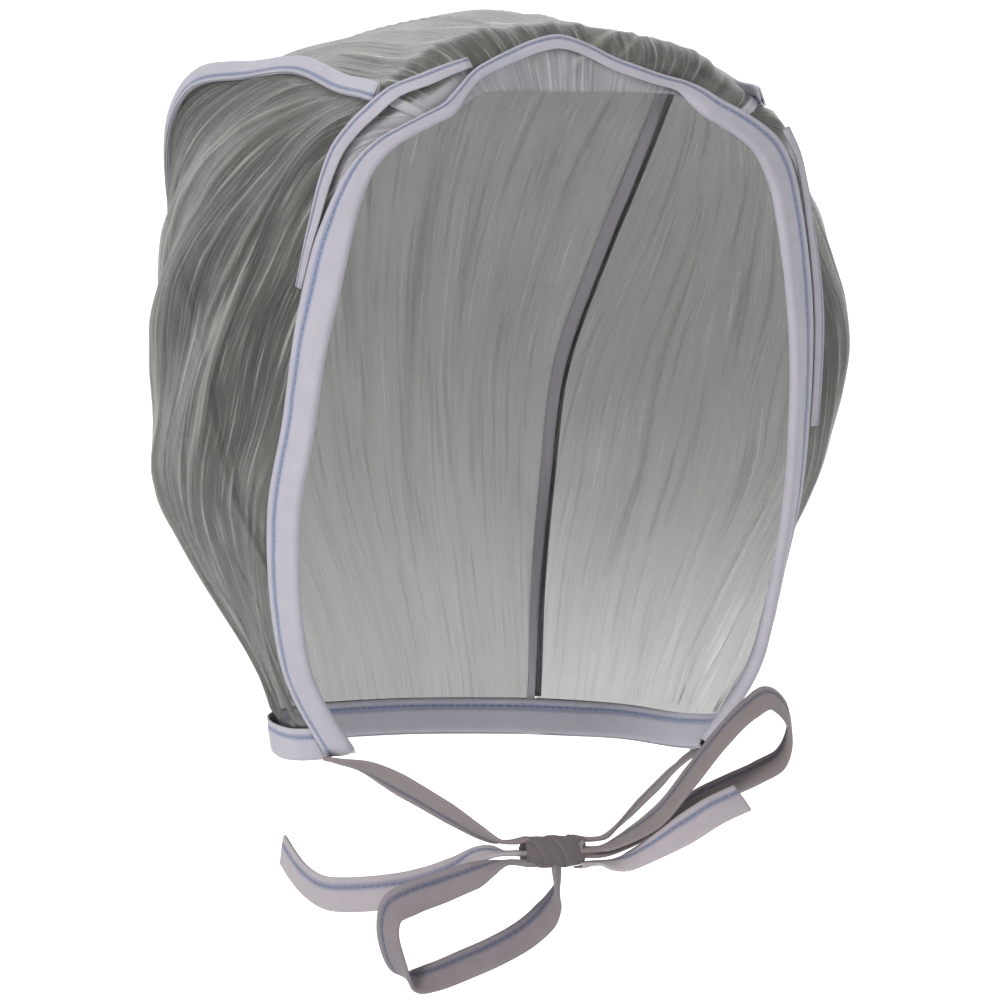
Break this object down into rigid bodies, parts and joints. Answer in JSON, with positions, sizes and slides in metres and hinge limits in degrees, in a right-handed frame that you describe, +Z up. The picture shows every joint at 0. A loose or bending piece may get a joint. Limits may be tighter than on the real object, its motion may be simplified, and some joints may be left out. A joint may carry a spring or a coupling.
{
  "type": "hair highlighting cap",
  "caption": "Translucent plastic highlighting cap in the shape of a bonnet, with tape-bound edges and tape ties knotted in a bow under the chin.",
  "frame": {"origin": "underside of the crown panel at its middle, where the top of the wearer's head bears on it", "axes": "+Z up; -Y forward, the way the wearer faces; +X to the wearer's left"},
  "size_m": [0.1833, 0.1845, 0.2605],
  "materials": {
    "film": "glossy, translucent, smoky clear",
    "tape": "matt woven tape with a stitched line"
  },
  "bodies": {
    "root": {"crown_panel": "film", "side_panel_right": "film", "side_panel_left": "film", "face_binding": "tape", "nape_binding": "tape", "brow_strand_right": "tape", "brow_strand_left": "tape", "seam_binding_right": "tape", "seam_binding_left": "tape", "tie_right": "tape", "tie_left": "tape", "bow_loop_left": "tape", "tie_tail_left": "tape", "bow_loop_right": "tape", "tie_tail_right": "tape", "bow_knot": "tape"}
  },
  "joints": []
}
